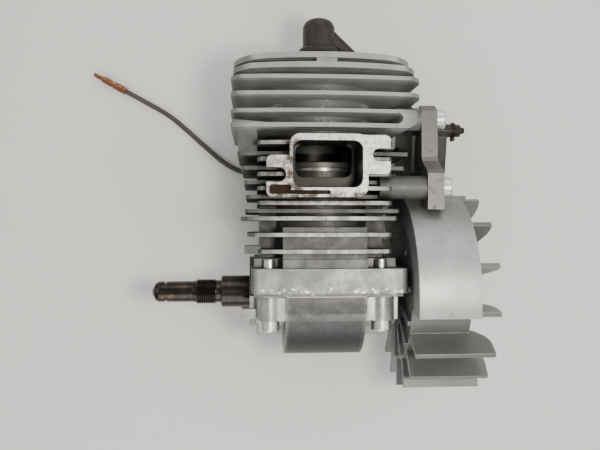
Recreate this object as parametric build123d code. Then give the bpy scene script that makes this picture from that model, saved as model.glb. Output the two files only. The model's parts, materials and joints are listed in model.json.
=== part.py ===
from build123d import *
import os
from math import atan, cos, degrees, pi, radians, sin, tan

# Powerhead of a small two-stroke machine, in millimetres.
# It is modelled about the crankshaft: +X runs along the crankshaft to the flywheel, +Y up the
# cylinder to the spark plug and +Z to the exhaust side. The whole engine is moved at the end, so
# that the origin is under the middle of the box it lies in.
# Wheel angles are in degrees about +X, counted from +Z.

# Crank train
STROKE = 32.0
BORE_R = 19.0
CROWN_REST_Y = 60.4  # piston crown at bottom dead centre
PIN_TO_CROWN = 22.4
THROW = STROKE / 2
WRIST_Y = CROWN_REST_Y - PIN_TO_CROWN
PISTON_R = BORE_R - 0.03
PISTON_LENGTH = 33.0
PIN_R = 5.0
RING_Y = (56.05, 57.55)
CHAMBER_R = 26.0
CHAMBER_X = 14.5
WEB_R = 24.8
WEB_X = (5.5, 13.0)
RUN = 0.05  # radial running clearance

# Crankshaft ends
JOURNAL_R = 7.5
SHAFT_TIP_X = -78.7
PILOT_R = 4.9
PILOT_X = (-76.5, -59.6)
CLIP_GROOVE_X = (-73.0, -71.9)
THREAD_R = 6.0
THREAD_X = (-58.1, -48.6)
THREAD_PITCH = 1.0
SHOULDER_X = -46.4
TAPER_X = (38.0, 56.0)
TAPER_R = (7.2, 5.8)
NUT_THREAD_R = 5.0
SHAFT_END_X = 66.0

# Bearings and seals
BEARING_X = (15.0, 26.0)
BEARING_R = 17.5
BALL_R = 2.95
BALL_PITCH_R = 12.5
BALL_COUNT = 8
SEAL_X = (26.4, 32.4)
SEAL_R = 14.0

# Crankcase
GASKET_Y = 0.2  # half its thickness
PLATE = dict(x0=-32.2, x1=35.8, y0=2.0, y1=12.6, depth=35.0)
CASE_SCREW_X = (-24.2, 25.8)
CASE_SCREW_Z = 24.0
M5_R = 2.5
CAP_Y = -10.6
CAP_WEB_Z = 28.4
HOUSING_R = 21.0
BELLY_R = 29.4
BELLY_X = (-17.0, 18.6)
NOSE_X = -33.0

# Cylinder
BARREL_R = 24.0
DECK_Y = 104.0
ROOF_Y = 96.5
FIN_BACK_Z = -38.0
HEAD_FINS = [  # low and high faces, left and right ends, front, left and right corners, front's bow
    (102.8, 105.2, -40.3, 40.4, 38.0, 27.0, 27.0, 90.0),
    (98.7, 101.0, -40.5, 42.0, 38.0, 22.0, 22.0, 110.0),
    (94.0, 95.7, -41.1, 42.6, 37.5, 11.0, 13.0, 300.0),
    (87.1, 88.8, -41.1, 42.6, 37.0, 9.0, 12.0, 300.0),
    (79.8, 81.4, -41.1, 39.4, 36.5, 9.0, 3.0, 300.0),
    (73.4, 75.3, -41.1, 35.5, 36.5, 6.0, 9.0, 300.0),
]
LOWER_FIN_Z = 35.0
LOWER_FIN = 1.7
LOWER_FINS = [  # low face, left and right ends
    (19.2, -29.0, 29.4),
    (26.4, -34.0, 29.5),
    (33.5, -36.8, 31.9),
    (40.1, -29.5, 29.5),
    (46.5, -29.5, 29.5),
    (52.6, -29.5, 29.5),
    (59.1, -29.5, 29.5),
    (66.2, -29.5, 29.5),
]
SIDE_FIN_TIPS = (-35.1, -34.7, -35.4, -36.6, -38.4)
SIDE_FIN_Y = 36.8
SIDE_FIN_PITCH = 6.35
SEAM = dict(half=0.4, depth=2.0, proud=0.3)  # the mould's parting line down the fins' front

# Exhaust port and flange
PORT_X = 0.3
PORT_Y = 57.4
PORT_SIZE = (29.8, 20.0)
FLANGE_Z = (35.5, 39.5)
RIGHT_LUG = dict(end=27.1, low=53.1, high=69.7, slot_x=22.1, slot_y=61.3, slot=5.5)
LEFT_LUG = dict(end=-25.7, low=43.3, high=61.0, slot_x=-20.5, slot_y=52.8, slot=6.2)

# Intake flange, which the engine lies on together with two fan blades
INTAKE_Y = (29.0, 55.0)
INTAKE_HALF_X = 24.0
INTAKE_PORT = (18.0, 13.0)
INTAKE_PORT_Y = 41.0
INTAKE_SCREW_X = 18.0
INTAKE_SCREW_DEPTH = 9.0

# Spark plug and boot
PLUG_SEAT_Y = 105.6
PLUG_THREAD_R = 7.0
BOOT_TOP_Y = 130.0
BOOT_R = 7.7
TERMINAL_R = 3.2
LEAD_R = 2.5

# Flywheel
WHEEL_R = 46.0
WHEEL_X = (38.0, 64.6)
BLADE_TIP_X = 73.0
DRUM_R = (30.0, 32.5)
RIM_R = 42.5
HUB_R = 12.0
BLADE = 2.2
SECTOR = (-135.0, 10.0)
SECTOR_BLADES = [7.6 - 25.8 * step for step in range(6)]
FIRST_BLADE = 32.5
BLADE_STEP = (180 - FIRST_BLADE) / 7.5  # so that two tips straddle the lowest point
OPEN_BLADES = [FIRST_BLADE + BLADE_STEP * step for step in range(10)]
MAGNET_ANGLE = -103.0
PAWL_ANGLES = {"pawl_1": 60.0, "pawl_2": 240.0}
PAWL_PIVOT_R = 22.0
PAWL_X = (46.4, 50.0)
PAWL_LENGTH = 12.0

# Ignition module
CORE_X = (45.1, 52.4)
AIR_GAP = 0.4
CORE_LEAN = 13.0
COIL_X = (43.5, 60.0)
TERMINAL = dict(y=78.2, z=-6.0)
POSTS = ((24.0, 48.2, 26.0), (34.0, 80.2, 15.5))  # inner end x, y and z of each post

# The plane that the engine lies on: the tips of the two lowest blades
TABLE_Z = -WHEEL_R * cos(radians(BLADE_STEP / 2 - degrees(atan(BLADE / 2 / WHEEL_R))))

# The loose kill wire lies on that plane. Its route runs from the coil to the crimped pin.
WIRE_R = 1.3
WIRE_Z = TABLE_Z + WIRE_R + 0.1
CRIMP_R = 1.9
CRIMP_Z = TABLE_Z + CRIMP_R + 0.1
WIRE_ROUTE = [
    (43.5, 70.0, -27.4),
    (37.5, 70.1, -33.2),
    (28.5, 69.5, -39.6),
    (18.0, 68.2, -43.2),
    (6.5, 66.2, WIRE_Z),
    (-6.0, 63.2, WIRE_Z),
    (-17.5, 60.5, WIRE_Z),
    (-28.0, 59.1, WIRE_Z),
    (-38.2, 60.0, WIRE_Z),
    (-47.2, 64.8, WIRE_Z),
    (-56.3, 72.8, WIRE_Z),
    (-65.9, 81.5, WIRE_Z),
    (-75.6, 89.9, WIRE_Z),
    (-86.3, 96.0, WIRE_Z),
    (-99.4, 103.0, CRIMP_Z),
]
# The high-tension lead runs over the top fin and down to the coil, held at both ends.
LEAD_ROUTE = [
    (16.0, 113.5, -4.4),
    (25.0, 110.4, -11.5),
    (34.5, 109.3, -19.5),
    (42.0, 105.6, -25.0),
    (46.6, 98.4, -27.0),
    (49.6, 90.4, -24.5),
    (51.8, 83.0, -19.8),
]

ORIGIN = Vector((SHAFT_TIP_X + BLADE_TIP_X) / 2, (BOOT_TOP_Y - WHEEL_R) / 2, TABLE_Z)

parts = {}


# ---------------------------------------------------------------- shape helpers


def block(x0, x1, y0, y1, z0, z1):
    """A box from its lowest corner to its highest."""
    middle = Pos((x0 + x1) / 2, (y0 + y1) / 2, (z0 + z1) / 2)
    return middle * Box(x1 - x0, y1 - y0, z1 - z0)


def rod_x(radius, x0, x1, y=0.0, z=0.0):
    return Pos((x0 + x1) / 2, y, z) * Rot(0, 90, 0) * Cylinder(radius, x1 - x0)


def rod_y(radius, y0, y1, x=0.0, z=0.0):
    return Pos(x, (y0 + y1) / 2, z) * Rot(90, 0, 0) * Cylinder(radius, y1 - y0)


def rod_z(radius, z0, z1, x=0.0, y=0.0):
    return Pos(x, y, (z0 + z1) / 2) * Cylinder(radius, z1 - z0)


def ring_x(outer, inner, x0, x1, y=0.0, z=0.0):
    return rod_x(outer, x0, x1, y, z) - rod_x(inner, x0 - 1, x1 + 1, y, z)


def layer_y(sketch, y0, y1):
    """A sketch drawn in X and Z, as a plate from y0 to y1."""
    plane = Plane(origin=(0, y1, 0), x_dir=(1, 0, 0), z_dir=(0, -1, 0))
    return extrude(plane * sketch, amount=y1 - y0)


def layer_x(sketch, x0, x1):
    """A sketch drawn in Y and Z, as a plate from x0 to x1."""
    plane = Plane(origin=(x0, 0, 0), x_dir=(0, 1, 0), z_dir=(1, 0, 0))
    return extrude(plane * sketch, amount=x1 - x0)


def layer_z(sketch, z0, z1):
    """A sketch drawn in X and Y, as a plate from z0 to z1."""
    return extrude(Pos(0, 0, z0) * sketch, amount=z1 - z0)


def turned_x(points):
    """A solid turned about the crankshaft, from its (x, radius) outline."""
    return revolve(make_face(Polyline(*points, close=True)), axis=Axis.X)


def turned_y(points):
    """A solid turned about the cylinder's axis, from its (radius, y) outline."""
    return revolve(make_face(Polyline(*points, close=True)), axis=Axis.Y)


def arc_x(points, start, end):
    """An (x, radius) outline swept about the crankshaft from one wheel angle to another."""
    outline = make_face(Polyline(*[(x, 0, r) for x, r in points], close=True))
    return Rot(start, 0, 0) * revolve(outline, axis=Axis.X, revolution_arc=end - start)


def at_angle(shape, angle):
    """Turns a shape drawn at the wheel's +Z side to a wheel angle."""
    return Rot(angle, 0, 0) * shape


def rounded_tube(points, radius):
    """A tube of straight runs and tangent arcs, with its length and arc radii."""
    route = [Vector(*point) for point in points]
    runs = [b - a for a, b in zip(route, route[1:])]
    radii = []
    for before, after in zip(runs, runs[1:]):
        half_turn = radians(before.get_angle(after)) / 2
        radii.append(0.45 * min(before.length, after.length) / tan(half_turn))
    path = FilletPolyline(*route, radius=radii)
    start = Plane(origin=path @ 0, z_dir=path % 0)
    return sweep(start * Circle(radius), path=path), path.length, radii


def both_ends(shape):
    """A shape and its mirror image at the other end of the crankshaft."""
    return [shape, mirror(shape, about=Plane.YZ)]


def case_screw_places():
    return [(x, z) for x in CASE_SCREW_X for z in (-CASE_SCREW_Z, CASE_SCREW_Z)]


# ---------------------------------------------------------------- cylinder casting


def fin_outline(left, right, front, back, left_corner, right_corner, bow):
    """A fin's outline in X and Z, with round corners and a slightly bowed front edge."""
    middle = Pos((left + right) / 2, (front + back) / 2)
    outline = middle * Rectangle(right - left, front - back)
    outline = fillet(outline.vertices().group_by(Axis.X)[0], left_corner)
    outline = fillet(outline.vertices().group_by(Axis.X)[-1], right_corner)
    return outline & (Pos(0, front - bow) * Circle(bow))


def seam_rib(low, high, front):
    """The raised parting line on the front edge of a fin."""
    half = SEAM["half"]
    return block(-half, half, low, high, front - SEAM["depth"], front + SEAM["proud"])


def upper_fins():
    """The six wide fins round the head, from the top one down, and the webs between them."""
    shape = block(-4.3, 4.5, HEAD_FINS[1][0], HEAD_FINS[0][1] - 0.6, 20, 37.2)
    for low, high, left, right, front, *corners, bow in HEAD_FINS:
        outline = fin_outline(left, right, front, FIN_BACK_Z, *corners, bow)
        shape += layer_y(outline, low, high) + seam_rib(low, high, front)
    return shape + coil_side_web() + left_webs()


def coil_side_web():
    """The web that closes the lowest gap at its right end, where the coil's post stands."""
    above, below = HEAD_FINS[4], HEAD_FINS[5]
    end, top, bottom = above[3], above[0] + 0.2, below[1]
    corners = [(31.0, top), (end, top), (end, bottom), (36.0, below[0]), (31.0, below[0])]
    web = layer_z(make_face(Polyline(*corners, close=True)), 8, above[4] - 1.0)
    gap = top - bottom
    return web - rod_z(gap / 2 - 0.05, 0, 40, 31.0, bottom + gap / 2 - 0.05)


def left_webs():
    """The lowest head fin thickens towards its left end, and a web drops from it there."""
    low, high, left = HEAD_FINS[5][:3]
    end = left + 0.6
    corners = [(end, low), (end, high + 2.0), (-9.0, high - 0.1), (-9.0, low)]
    wedge = layer_z(make_face(Polyline(*corners, close=True)), -30, 30)
    return wedge + block(-38.0, -29.6, 62.5, low + 1, -30, 24)


def lower_fins():
    """Short fins round the barrel, with those at the sides set half a pitch off."""
    shape = block(-35.1, -28.0, 18.9, 22.6, 20, 30)
    for low, left, right in LOWER_FINS:
        corner = 9.0 if left < -30 else 5.0
        outline = fin_outline(left, right, LOWER_FIN_Z, -36.0, corner, 6.0, 250.0)
        shape += layer_y(outline, low, low + LOWER_FIN) + seam_rib(low, low + LOWER_FIN, LOWER_FIN_Z)
    for index, tip in enumerate(SIDE_FIN_TIPS):
        low = SIDE_FIN_Y + SIDE_FIN_PITCH * index
        right = 34.5 if low < WHEEL_R + 2 else -tip
        outline = fin_outline(tip, right, 27.0, -34.0, 5.0, 5.0, 400.0)
        shape += layer_y(outline, low, low + LOWER_FIN)
    return shape


def exhaust_flange():
    """The exhaust duct and its flange, whose two lugs have open slots for the muffler's studs."""
    duct = Pos(0.8, 56.75) * RectangleRounded(33.4, 26.9, 4.5)
    shape = layer_z(duct, 10, FLANGE_Z[1])
    for lug, side in ((RIGHT_LUG, 1), (LEFT_LUG, -1)):
        low, high = FLANGE_Z
        root = 6 * side
        inner, outer = sorted((root, lug["end"]))
        middle = Pos((inner + outer) / 2, (lug["low"] + lug["high"]) / 2)
        plate = middle * RectangleRounded(outer - inner, lug["high"] - lug["low"], 2.4)
        width = lug["slot"]
        slot = Pos(lug["slot_x"], lug["slot_y"]) * Circle(width / 2)
        reach = lug["slot_x"] + side * 10
        slot += Pos((lug["slot_x"] + reach) / 2, lug["slot_y"]) * Rectangle(10, width)
        shape += layer_z(plate - slot, low, high)
    # A recess below the left slot runs on under the port, inside a thin rim
    pocket = Pos(-20.0, 46.6) * RectangleRounded(9.2, 4.1, 1.4)
    pocket += Pos(-8.5, 45.4) * RectangleRounded(20.0, 1.7, 0.8)
    return shape - layer_z(pocket, FLANGE_Z[1] - 2.4, FLANGE_Z[1] + 1)


def intake_flange():
    duct = Pos(0, sum(INTAKE_Y) / 2) * RectangleRounded(28, 22, 4)
    height = INTAKE_Y[1] - INTAKE_Y[0]
    face = Pos(0, sum(INTAKE_Y) / 2) * RectangleRounded(2 * INTAKE_HALF_X, height, 5)
    return layer_z(duct, TABLE_Z, -15) + layer_z(face, TABLE_Z, TABLE_Z + 6)


def upper_case():
    """The upper crankcase half: its base plate, bearing housings and the walls up to the barrel."""
    middle = (PLATE["x0"] + PLATE["x1"]) / 2
    width = PLATE["x1"] - PLATE["x0"]
    plate = Pos(middle, 0) * RectangleRounded(width, 2 * PLATE["depth"], 2.8)
    shape = layer_y(plate, PLATE["y0"], PLATE["y1"])
    shape += block(-31, 34.5, GASKET_Y, PLATE["y0"] + 1, -30, 30)
    shape += block(-18.4, 18.6, PLATE["y1"] - 1, 16.5, -31, 31)
    shape += block(-18.4, 18.6, PLATE["y1"] - 1, 30.5, -27, 29.5)
    shape += block(-31, 33, PLATE["y1"] - 1, 16.5, -21, 21)
    left_nose = rod_x(16.5, NOSE_X, -28) & block(-40, 0, GASKET_Y, 30, -30, 30)
    transfers = block(-28.5, 28.5, PLATE["y1"] - 1, 50, -12, 12)
    return shape + left_nose + transfers


def crankcase_room():
    """What both crankcase halves are hollowed by: crank chamber, bearing and seal seats, shaft."""
    room = rod_x(CHAMBER_R, -CHAMBER_X, CHAMBER_X)
    room += rod_x(BEARING_R, -BEARING_X[1], BEARING_X[1])
    room += rod_x(SEAL_R, -33.0, 33.0)
    return room + rod_x(8.3, -50, 50)


def casting():
    """The whole casting: cylinder and upper crankcase half in one."""
    shape = rod_y(BARREL_R, PLATE["y1"], 100) + rod_y(17, 99, 102.9) + rod_y(13, 99, DECK_Y)
    shape = shape + upper_fins() + lower_fins() + upper_case()
    shape = shape + exhaust_flange() + intake_flange()
    for inner, y, z in POSTS:
        shape += rod_x(5.2, inner, CORE_X[0], y, z)
    # Plug well, bore with its domed roof, crank chamber and ports
    shape -= rod_y(12.6, DECK_Y, DECK_Y + 5)
    shape -= turned_y([(0, 22), (BORE_R, 22), (BORE_R, 93), (10, ROOF_Y), (0, ROOF_Y)])
    shape -= crankcase_room()
    shape -= block(-CHAMBER_X, CHAMBER_X, 10, 27, -BORE_R, BORE_R)
    shape -= rod_y(PLUG_THREAD_R, ROOF_Y - 4, DECK_Y + 1)
    port = Pos(PORT_X, PORT_Y) * RectangleRounded(*PORT_SIZE, 4.0)
    shape -= layer_z(port, 21.5, FLANGE_Z[1] + 1)
    window = Pos(PORT_X, PORT_Y + 2.8) * RectangleRounded(25.5, 14.4, 3.5)
    shape -= layer_z(window, 10, 25)
    intake = Pos(0, INTAKE_PORT_Y) * RectangleRounded(*INTAKE_PORT, 3.0)
    shape -= layer_z(intake, TABLE_Z - 1, -10)
    for x in (-INTAKE_SCREW_X, INTAKE_SCREW_X):
        shape -= rod_z(M5_R, TABLE_Z - 1, TABLE_Z + INTAKE_SCREW_DEPTH, x, sum(INTAKE_Y) / 2)
    for x, z in case_screw_places():
        shape -= rod_y(M5_R, -1, PLATE["y1"] + 5, x, z)
    for inner, y, z in POSTS:
        shape -= rod_x(M5_R, CORE_X[0] - 12, CORE_X[0] + 1, y, z)
    # The fan turns past the casting's flywheel side
    return shape - rod_x(WHEEL_R + 1.5, 36.1, 60)


def make_casting_pieces():
    """The casting as two pieces that meet at the top face of its base plate."""
    whole = casting()
    above = block(-80, 80, PLATE["y1"], 200, -80, 80)
    return whole & above, whole - above


# ---------------------------------------------------------------- crankcase


def make_cap():
    below = block(-60, 60, -60, -GASKET_Y, -60, 60)
    shape = block(-31, 34.5, CAP_Y, -GASKET_Y, -17, 17)
    shape += block(-25, 25, CAP_Y, -GASKET_Y, -CAP_WEB_Z, CAP_WEB_Z)
    for x, z in case_screw_places():
        shape += rod_y(5.6, CAP_Y, -GASKET_Y, x, z)
        reach = 7.5 if x > 0 else -5.0
        shape += block(*sorted((x, x + reach)), CAP_Y, -GASKET_Y, *sorted((z, z * 0.5)))
    shape += rod_x(HOUSING_R, -30, 30) & below
    shape += rod_x(16.5, NOSE_X, 35.2) & below
    shape += rod_x(BELLY_R, *BELLY_X) & below
    shape += block(-36.4, -29.4, -10.0, -5.7, 14, 23)
    shape += block(-33.0, -29.4, -5.8, -GASKET_Y, 17, 19)
    shape -= crankcase_room()
    for x, z in case_screw_places():
        shape -= rod_y(2.75, CAP_Y - 1, 1, x, z)
    return shape


def make_gasket():
    shape = block(-31, 34.5, -GASKET_Y, GASKET_Y, -17, 17)
    shape += block(-30, 30, -GASKET_Y, GASKET_Y, -20.5, 20.5)
    shape += block(-25, 25, -GASKET_Y, GASKET_Y, -26.2, 26.2)
    shape += block(*BELLY_X, -GASKET_Y, GASKET_Y, -29.6, 29.6)
    for x, z in case_screw_places():
        shape += rod_y(5.4, -GASKET_Y, GASKET_Y, x, z)
        shape -= rod_y(2.75, -1, 1, x, z)
    return shape - crankcase_room()


def cap_screw(length, head_r, head, shank_r=M5_R):
    """A socket head screw that points up +Z, with the underside of its head at the origin."""
    shape = Pos(0, 0, -head / 2) * Cylinder(head_r, head)
    shape = fillet(shape.edges().group_by(Axis.Z)[0], 0.9)
    shape += Pos(0, 0, length / 2) * Cylinder(shank_r, length)
    socket = extrude(Pos(0, 0, -head) * RegularPolygon(head_r * 0.52, 6), amount=head * 0.55)
    return shape - socket


def make_case_screws():
    length = 16.3 - CAP_Y
    return [
        Pos(x, CAP_Y, z) * Rot(-90, 0, 0) * cap_screw(length, 4.5, 5.0)
        for x, z in case_screw_places()
    ]


def ball_track():
    groove = Pos(0, BALL_PITCH_R) * Circle(BALL_R + RUN)
    middle = sum(BEARING_X) / 2
    return Pos(middle, 0, 0) * revolve(groove, axis=Axis.X)


def make_outer_races():
    race = ring_x(BEARING_R, 14.6, *BEARING_X) - ball_track()
    return both_ends(race)


def make_inner_races():
    race = ring_x(10.2, JOURNAL_R, *BEARING_X) - ball_track()
    return both_ends(race)


def make_balls():
    middle = sum(BEARING_X) / 2
    return [
        at_angle(Pos(side * middle, 0, BALL_PITCH_R) * Sphere(BALL_R), 360 / BALL_COUNT * step)
        for side in (-1, 1)
        for step in range(BALL_COUNT)
    ]


def make_seals():
    seal = ring_x(SEAL_R, 11.6, *SEAL_X) + ring_x(12.0, JOURNAL_R + RUN, SEAL_X[0] + 3, SEAL_X[1])
    return both_ends(seal)


# ---------------------------------------------------------------- crank train


def crank_web(sign):
    """A round web with the crank pin's end in it, lightened on both sides of the pin."""
    x0, x1 = sorted((sign * WEB_X[0], sign * WEB_X[1]))
    web = rod_x(WEB_R, x0, x1)
    for side in (-1, 1):
        web -= rod_x(4.5, x0 - 1, x1 + 1, -9.5, side * 15.5)
        web -= rod_x(2.8, x0 - 1, x1 + 1, -2.0, side * 19.5)
    return web


def make_clutch_half():
    """The clutch-side half: pilot with its clip groove, thread, journal and web."""
    low, high = PILOT_X
    groove = CLIP_GROOVE_X
    outline = [(SHAFT_TIP_X, 0), (SHAFT_TIP_X, 1.6), (low - 0.9, PILOT_R - 1.0), (low, PILOT_R - 0.4)]
    outline += [(low + 1.0, PILOT_R), (groove[0], PILOT_R), (groove[0], PILOT_R - 0.6)]
    outline += [(groove[1], PILOT_R - 0.6), (groove[1], PILOT_R), (high, PILOT_R)]
    outline += [(high + 0.4, PILOT_R + 0.2), (THREAD_X[0], PILOT_R + 0.3)]
    turns = int((THREAD_X[1] - THREAD_X[0]) / THREAD_PITCH)
    for turn in range(turns):
        root = THREAD_X[0] + turn * THREAD_PITCH
        outline += [(root + 0.42, THREAD_R), (root + 0.58, THREAD_R)]
        outline += [(root + THREAD_PITCH, THREAD_R - 0.6)]
    outline += [(THREAD_X[1], 5.25), (SHOULDER_X, 5.25), (SHOULDER_X, 7.0)]
    outline += [(SHOULDER_X + 0.5, JOURNAL_R), (-WEB_X[0], JOURNAL_R), (-WEB_X[0], 0)]
    return turned_x(outline) + crank_web(-1)


def make_flywheel_half():
    """The flywheel-side half: web, journal, taper with a key slot and the nut's thread."""
    outline = [(WEB_X[0], 0), (WEB_X[0], JOURNAL_R), (37.0, JOURNAL_R), (TAPER_X[0], TAPER_R[0])]
    outline += [(TAPER_X[1], TAPER_R[1]), (TAPER_X[1], NUT_THREAD_R)]
    outline += [(SHAFT_END_X - 0.8, NUT_THREAD_R), (SHAFT_END_X, 4.2), (SHAFT_END_X, 0)]
    return turned_x(outline) + crank_web(1) - key_shape()


def key_shape():
    return block(43.5, 49.5, -1.5, 1.5, 4.2, 8.6)


def needle_cage(outer, inner, half, y):
    """A needle bearing as one sleeve with its rollers standing proud on the outside."""
    cage = ring_x(outer - 0.5, inner + RUN, -half, half, y)
    count = 12
    roller = (outer - inner) / 2 - 0.05
    for step in range(count):
        angle = radians(360 / count * step)
        middle = (outer + inner) / 2
        place = (y + middle * cos(angle), middle * sin(angle))
        cage += rod_x(roller, -half + 0.6, half - 0.6, *place)
    return cage


def make_rod():
    """The connecting rod, with an I section between its eyes."""
    big, small = -THROW, WRIST_Y
    shank = block(-2.6, 2.6, big + 6, small - 5, -4.2, 4.2)
    for side in (-1, 1):
        x0, x1 = sorted((side * 1.0, side * 3.0))
        shank -= block(x0, x1, big + 12, small - 11, -2.6, 2.6)
    shape = rod_x(9.4, -5.0, 5.0, big) + rod_x(8.6, -5.0, 5.0, small) + shank
    shape -= rod_x(7.0, -6, 6, big)
    return shape - rod_x(6.5, -6, 6, small)


def make_piston():
    """The piston, open below, with bosses for the wrist pin and one ring groove."""
    bottom = CROWN_REST_Y - PISTON_LENGTH
    outline = [(0, CROWN_REST_Y), (PISTON_R - 0.6, CROWN_REST_Y), (PISTON_R, CROWN_REST_Y - 0.6)]
    outline += [(PISTON_R, RING_Y[1]), (17.5, RING_Y[1]), (17.5, RING_Y[0])]
    outline += [(PISTON_R, RING_Y[0]), (PISTON_R, bottom), (16.6, bottom)]
    outline += [(16.6, 51.0), (13.5, 54.6), (0, 54.6)]
    shape = turned_y(outline)
    inside = rod_y(17.0, bottom, 55)
    for side in (-1, 1):
        boss = rod_x(8.0, *sorted((side * 7.2, side * 18)), WRIST_Y)
        shape += boss & inside
        shape -= rod_x(PIN_R, *sorted((side * 5, side * 20)), WRIST_Y)
        shape -= rod_x(PIN_R + 0.5, *sorted((side * 15.6, side * 16.6)), WRIST_Y)
        cut = rod_x(6.5, *sorted((side * 12, side * 24)), bottom + 0.5)
        shape -= cut
    return shape


def make_piston_ring():
    low, high = RING_Y
    ring = turned_y([(17.5, low), (PISTON_R, low), (PISTON_R, high), (17.5, high)])
    return ring - block(-0.3, 0.3, 50, 60, -22, -10)


def make_circlips():
    clip = ring_x(PIN_R + 0.5, PIN_R - 0.7, 15.65, 16.55, WRIST_Y)
    clip -= block(15, 17, WRIST_Y, WRIST_Y + 8, -1.2, 1.2)
    return both_ends(clip)


# ---------------------------------------------------------------- flywheel


def fan_blade(inner_x, angle, shoulder, nose):
    """A radial blade along the rim, whose outboard end slopes in below a shoulder of radius nose."""
    root, tip = DRUM_R[0] + 1, WHEEL_R
    outline = [(inner_x, 0, root), (inner_x, 0, tip + 1), (BLADE_TIP_X, 0, tip + 1)]
    outline += [(BLADE_TIP_X, 0, shoulder), (WHEEL_X[1] + 2, 0, root)]
    face = make_face(Polyline(*outline, close=True))
    corner = face.vertices().sort_by_distance((BLADE_TIP_X, 0, shoulder))[0]
    plate = extrude(fillet(corner, nose), amount=BLADE / 2, both=True)
    return at_angle(plate & rod_x(WHEEL_R, 30, 80), angle)


def pawl_boss(angle):
    boss = rod_x(3.4, WHEEL_X[0] + 1, PAWL_X[0] - 0.2, 0, PAWL_PIVOT_R)
    return at_angle(boss, angle)


def make_flywheel():
    low, high = WHEEL_X
    shape = ring_x(DRUM_R[1], 5, low, low + 3) + rod_x(HUB_R, low, TAPER_X[1])
    shape += ring_x(DRUM_R[1], DRUM_R[0], low, high)
    shape += arc_x([(low, 22), (low, WHEEL_R), (low + 3, WHEEL_R), (low + 3, 22)], *SECTOR)
    shape += arc_x([(low, RIM_R), (low, WHEEL_R), (high, WHEEL_R), (high, RIM_R)], *SECTOR)
    for angle in SECTOR_BLADES:
        shape += fan_blade(low, angle, *((42.0, 12.0) if angle < 0 else (34.0, 8.0)))
    for angle in OPEN_BLADES:
        shape += fan_blade(low, angle, 36.0, 8.0)
    for step in range(9):
        rib = block(36.6, low + 1, -0.9, 0.9, 17, 32.0)
        shape += at_angle(rib, 22 + 22.5 * step)
    for step in range(4):
        pad = rod_x(1.3, low - 0.7, low + 1, 0, 27)
        shape += at_angle(pad, SECTOR[1] - 16 - 38 * step)
    for angle in PAWL_ANGLES.values():
        shape += pawl_boss(angle)
        shape -= at_angle(rod_x(2.0, low + 1, PAWL_X[0] + 1, 0, PAWL_PIVOT_R), angle)
    bore = [(low - 3, 0), (low - 3, TAPER_R[0] + 0.3), (low, TAPER_R[0])]
    bore += [(TAPER_X[1], TAPER_R[1]), (TAPER_X[1] + 1, TAPER_R[1]), (TAPER_X[1] + 1, 0)]
    shape -= turned_x(bore)
    return shape - key_shape() - magnet_pocket()


def magnet_pocket():
    """The recess in the rim for the magnet, between its two pole shoes."""
    return arc_x([(43, 39), (43, 50), (60, 50), (60, 39)], MAGNET_ANGLE - 15, MAGNET_ANGLE + 15)


def make_magnet():
    face = [(43, 39), (43, WHEEL_R - 0.6), (60, WHEEL_R - 0.6), (60, 39)]
    return arc_x(face, MAGNET_ANGLE - 6, MAGNET_ANGLE + 6)


def make_pole_shoes():
    face = [(43, 39), (43, WHEEL_R), (60, WHEEL_R), (60, 39)]
    return [
        arc_x(face, MAGNET_ANGLE - 15, MAGNET_ANGLE - 6),
        arc_x(face, MAGNET_ANGLE + 6, MAGNET_ANGLE + 15),
    ]


def make_nut():
    nut = layer_x(RegularPolygon(9.2, 6), 57.6, 64.4)
    return nut & turned_x([(57.6, 0), (57.6, 8.2), (58.6, 9.3), (63.4, 9.3), (64.4, 8.2), (64.4, 0)])


def make_pawl(angle):
    """A flat pawl that leans in from its pivot towards the starter cup."""
    pivot = (0, PAWL_PIVOT_R)
    lean = radians(15)
    tip = (PAWL_LENGTH * cos(lean), PAWL_PIVOT_R - PAWL_LENGTH * sin(lean))
    arm = make_hull((Pos(*pivot) * Circle(3.6)).edges() + (Pos(*tip) * Circle(2.3)).edges())
    nose = Pos(tip[0] + 0.6, tip[1] - 1.1) * Rot(0, 0, -15) * Rectangle(3.6, 2.4)
    hole = Pos(*pivot) * Circle(2.0 + RUN)
    return at_angle(layer_x(arm + nose - hole, *PAWL_X), angle)


def pawl_screw(angle):
    screw = rod_x(2.0, 42.0, PAWL_X[1] + 0.1, 0, PAWL_PIVOT_R)
    screw += rod_x(4.0, PAWL_X[1] + 0.1, PAWL_X[1] + 2.0, 0, PAWL_PIVOT_R)
    slot = block(PAWL_X[1] + 1.2, PAWL_X[1] + 3, -5, 5, PAWL_PIVOT_R - 0.5, PAWL_PIVOT_R + 0.5)
    return at_angle(screw - slot, angle)


def pawl_spring(angle):
    coil = ring_x(4.3, 3.5, 41.4, 45.6, 0, PAWL_PIVOT_R)
    leg = block(44.6, 45.5, 0, 9, PAWL_PIVOT_R + 3.5, PAWL_PIVOT_R + 4.3)
    return at_angle(coil + leg, angle)


# ---------------------------------------------------------------- ignition


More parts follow.
